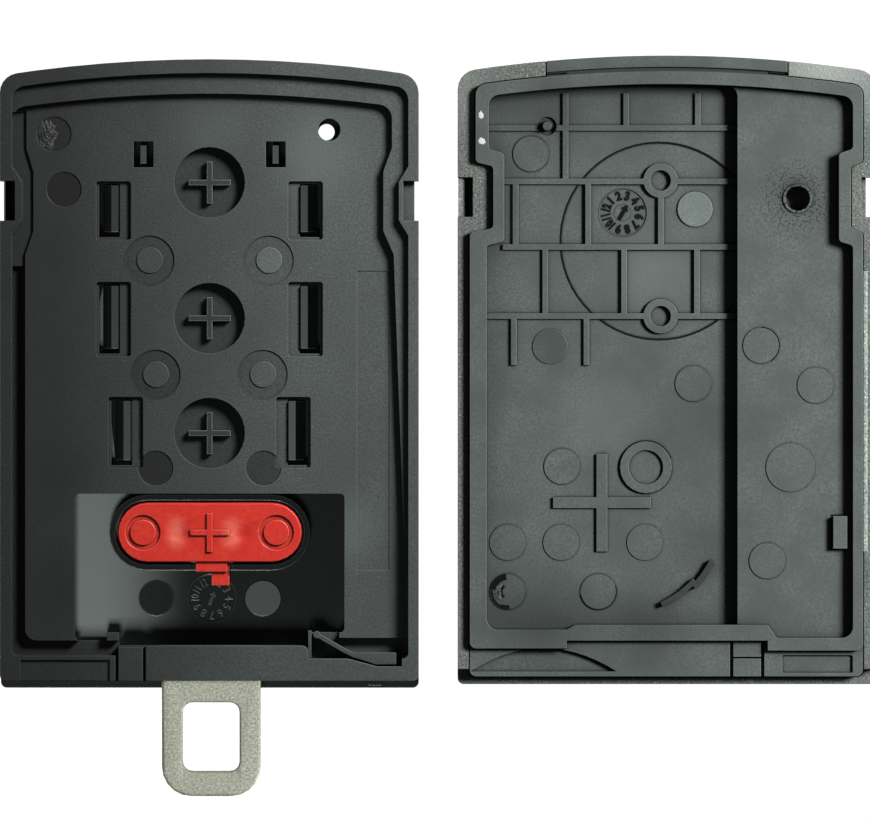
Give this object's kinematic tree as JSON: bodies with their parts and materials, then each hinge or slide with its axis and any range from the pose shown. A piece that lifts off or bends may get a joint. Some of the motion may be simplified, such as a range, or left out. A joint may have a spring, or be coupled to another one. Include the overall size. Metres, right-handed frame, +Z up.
{
  "type": "smart remote case",
  "caption": "Opened remote case lying inside up: moulded front half with push buttons, release latch and metal key loop, and rear half with ribbed liner and raised channel panel.",
  "frame": {"origin": "centre of the bounding box's base, between the two halves, on the surface that both outer faces lie on", "axes": "+X from the front half to the rear half, +Y from the foot with the metal loop to the crowned end, +Z up, out of the open insides"},
  "size_m": [0.1014, 0.0856, 0.005],
  "materials": {
    "glossy_skin": "polished black",
    "glass_filled_frame": "matte, glass filled, fine pale specks",
    "button_plastic": "satin",
    "red_plastic": "satin red",
    "loop_metal": "stamped nickel silver, tumbled",
    "grained_shell": "fine sparkling grain",
    "liner_plastic": "smooth moulded, satin"
  },
  "bodies": {
    "case_halves": {"front_cover": "glossy_skin", "front_tray": "glass_filled_frame", "rear_cover": "grained_shell", "rear_liner": "liner_plastic"},
    "top_key": {"top_button": "button_plastic"},
    "middle_key": {"middle_button": "button_plastic"},
    "lower_key": {"lower_button": "button_plastic"},
    "panic_key": {"panic_button": "red_plastic"},
    "insert": {"key_loop": "loop_metal"},
    "latch": {"release_latch": "glass_filled_frame"}
  },
  "joints": [
    {"name": "top_button_press", "type": "slide", "parent": "case_halves", "child": "top_key", "axis": [0, 0, 1], "range_m": [0, 0.0003], "stiffness_N_per_m": 400, "springref_m": -0.0005},
    {"name": "middle_button_press", "type": "slide", "parent": "case_halves", "child": "middle_key", "axis": [0, 0, 1], "range_m": [0, 0.0003], "stiffness_N_per_m": 400, "springref_m": -0.0005},
    {"name": "lower_button_press", "type": "slide", "parent": "case_halves", "child": "lower_key", "axis": [0, 0, 1], "range_m": [0, 0.0003], "stiffness_N_per_m": 400, "springref_m": -0.0005},
    {"name": "panic_button_press", "type": "slide", "parent": "case_halves", "child": "panic_key", "axis": [0, 0, 1], "range_m": [0, 0.0003], "stiffness_N_per_m": 400, "springref_m": -0.0005},
    {"name": "insert_pull", "type": "slide", "parent": "case_halves", "child": "insert", "axis": [0, -1, 0], "range_m": [0, 0.005]},
    {"name": "release_latch_flex", "type": "hinge", "parent": "case_halves", "child": "latch", "pos_m": [-0.01403, -0.02412, 0.0022], "axis": [0, 0, 1], "range_deg": [0, 3], "stiffness_Nm_per_rad": 0.2}
  ]
}
